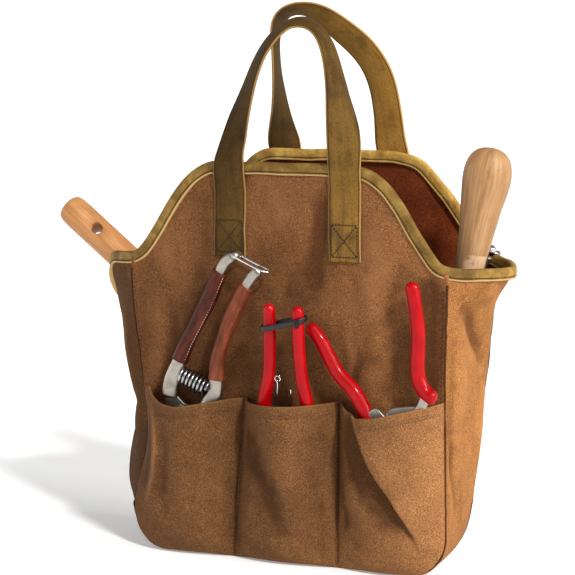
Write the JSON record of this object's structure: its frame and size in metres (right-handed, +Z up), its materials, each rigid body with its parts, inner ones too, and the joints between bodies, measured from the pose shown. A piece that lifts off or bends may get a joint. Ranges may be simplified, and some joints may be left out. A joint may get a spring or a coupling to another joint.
{
  "type": "garden tool bag",
  "caption": "Waxed-canvas garden tool bag with a bound mouth, front pockets and webbing carry handles, holding secateurs, snips, a pruner, a trowel and a transplanter.",
  "frame": {"origin": "middle of the flat base, where the bag stands", "axes": "+Z up; -Y towards the pocket side; +X to the right when the pocket side is faced"},
  "size_m": [0.4323, 0.1697, 0.4756],
  "materials": {
    "canvas": "waxed cotton canvas, matt, worn",
    "webbing": "olive cotton webbing",
    "tape": "olive-mustard cotton tape",
    "steel": "satin",
    "dark_steel": "dark, oiled",
    "leather": "mahogany brown, waxed",
    "red_grip": "glossy dipped vinyl",
    "black_strap": "satin black",
    "beech": "honey-coloured beech, oiled",
    "ash": "pale worn ash"
  },
  "bodies": {
    "bag": {"bag_front_panel": "canvas", "bag_back_panel": "canvas", "bag_gusset_strip": "canvas", "bag_mouth_binding": "tape", "bag_pocket_panel": "canvas", "front_handle_left_tab": "webbing", "front_handle_right_tab": "webbing", "back_handle_left_tab": "webbing", "back_handle_right_tab": "webbing"},
    "front_handle": {"front_handle_strap": "webbing"},
    "back_handle": {"back_handle_strap": "webbing"},
    "secateurs": {"secateurs_hook_body": "steel", "secateurs_left_leather": "leather", "secateurs_pivot_bolt": "dark_steel", "secateurs_spring": "steel", "secateurs_latch_pin": "steel"},
    "secateurs_right_arm": {"secateurs_blade_body": "steel", "secateurs_right_leather": "leather"},
    "secateurs_latch": {"secateurs_latch_wire": "steel"},
    "snips": {"snips_left_half": "dark_steel", "snips_left_grip": "red_grip", "snips_pivot_rivet": "steel", "snips_spring": "steel"},
    "snips_right_arm": {"snips_right_half": "dark_steel", "snips_right_grip": "red_grip"},
    "snips_band": {"snips_catch_band": "black_strap"},
    "pruner": {"pruner_cutting_half": "steel", "pruner_right_grip": "red_grip", "pruner_pivot_bolt": "dark_steel"},
    "pruner_left_arm": {"pruner_hook_half": "steel", "pruner_left_grip": "red_grip"},
    "trowel": {"trowel_handle": "beech", "trowel_ferrule": "steel", "trowel_blade": "steel"},
    "transplanter": {"transplanter_handle": "ash", "transplanter_ferrule": "steel", "transplanter_blade": "steel"},
    "shears": {"shears_left_half": "steel", "shears_rivet": "dark_steel"},
    "shears_right_arm": {"shears_right_half": "steel"},
    "shears_latch": {"shears_latch_wire": "steel"}
  },
  "joints": [
    {"name": "front_handle_fold", "type": "hinge", "parent": "bag", "child": "front_handle", "pos_m": [0.003, -0.0639, 0.35], "axis": [-1, 0, 0], "range_deg": [-140, 5]},
    {"name": "back_handle_fold", "type": "hinge", "parent": "bag", "child": "back_handle", "pos_m": [-0.001, 0.0639, 0.35], "axis": [1, 0, 0], "range_deg": [-140, 5]},
    {"name": "secateurs_lift", "type": "slide", "parent": "bag", "child": "secateurs", "axis": [0, 0, 1], "range_m": [0, 0.13]},
    {"name": "secateurs_squeeze", "type": "hinge", "parent": "secateurs", "child": "secateurs_right_arm", "pos_m": [-0.089, -0.074, 0.122], "axis": [0, -1, 0], "range_deg": [0, 4.5], "stiffness_Nm_per_rad": 0.8, "springref_deg": -11.46, "deforming": ["secateurs_spring"]},
    {"name": "secateurs_latch_swing", "type": "hinge", "parent": "secateurs", "child": "secateurs_latch", "pos_m": [-0.03846, -0.074, 0.26444], "axis": [0, -1, 0], "range_deg": [0, 110]},
    {"name": "snips_lift", "type": "slide", "parent": "bag", "child": "snips", "axis": [0.0349, -0.1563, 0.9871], "range_m": [0, 0.12]},
    {"name": "snips_squeeze", "type": "hinge", "parent": "snips", "child": "snips_right_arm", "pos_m": [0.008, -0.075, 0.104], "axis": [0, -0.9877, -0.1564], "range_deg": [0, 4.5], "stiffness_Nm_per_rad": 0.4, "springref_deg": -11.46, "deforming": ["snips_spring"]},
    {"name": "snips_band_off", "type": "slide", "parent": "snips", "child": "snips_band", "axis": [0.0349, -0.1563, 0.9871], "range_m": [0, 0.03]},
    {"name": "pruner_lift", "type": "slide", "parent": "bag", "child": "pruner", "axis": [0, 0, 1], "range_m": [0, 0.11]},
    {"name": "pruner_close", "type": "hinge", "parent": "pruner", "child": "pruner_left_arm", "pos_m": [0.1, -0.075, 0.124], "axis": [0, 1, 0], "range_deg": [0, 30]},
    {"name": "trowel_lift", "type": "slide", "parent": "bag", "child": "trowel", "axis": [-0.788, 0, 0.6157], "range_m": [0, 0.28]},
    {"name": "transplanter_lift", "type": "slide", "parent": "bag", "child": "transplanter", "axis": [0.1822, 0, 0.9833], "range_m": [0, 0.25]},
    {"name": "shears_lift", "type": "slide", "parent": "bag", "child": "shears", "axis": [0.2756, 0, 0.9613], "range_m": [0, 0.17]},
    {"name": "shears_squeeze", "type": "hinge", "parent": "shears", "child": "shears_right_arm", "pos_m": [0.112, 0.03, 0.17], "axis": [0, -1, 0], "range_deg": [0, 4]},
    {"name": "shears_latch_swing", "type": "hinge", "parent": "shears", "child": "shears_latch", "pos_m": [0.12913, 0.03, 0.27328], "axis": [0, -1, 0], "range_deg": [0, 100]}
  ]
}
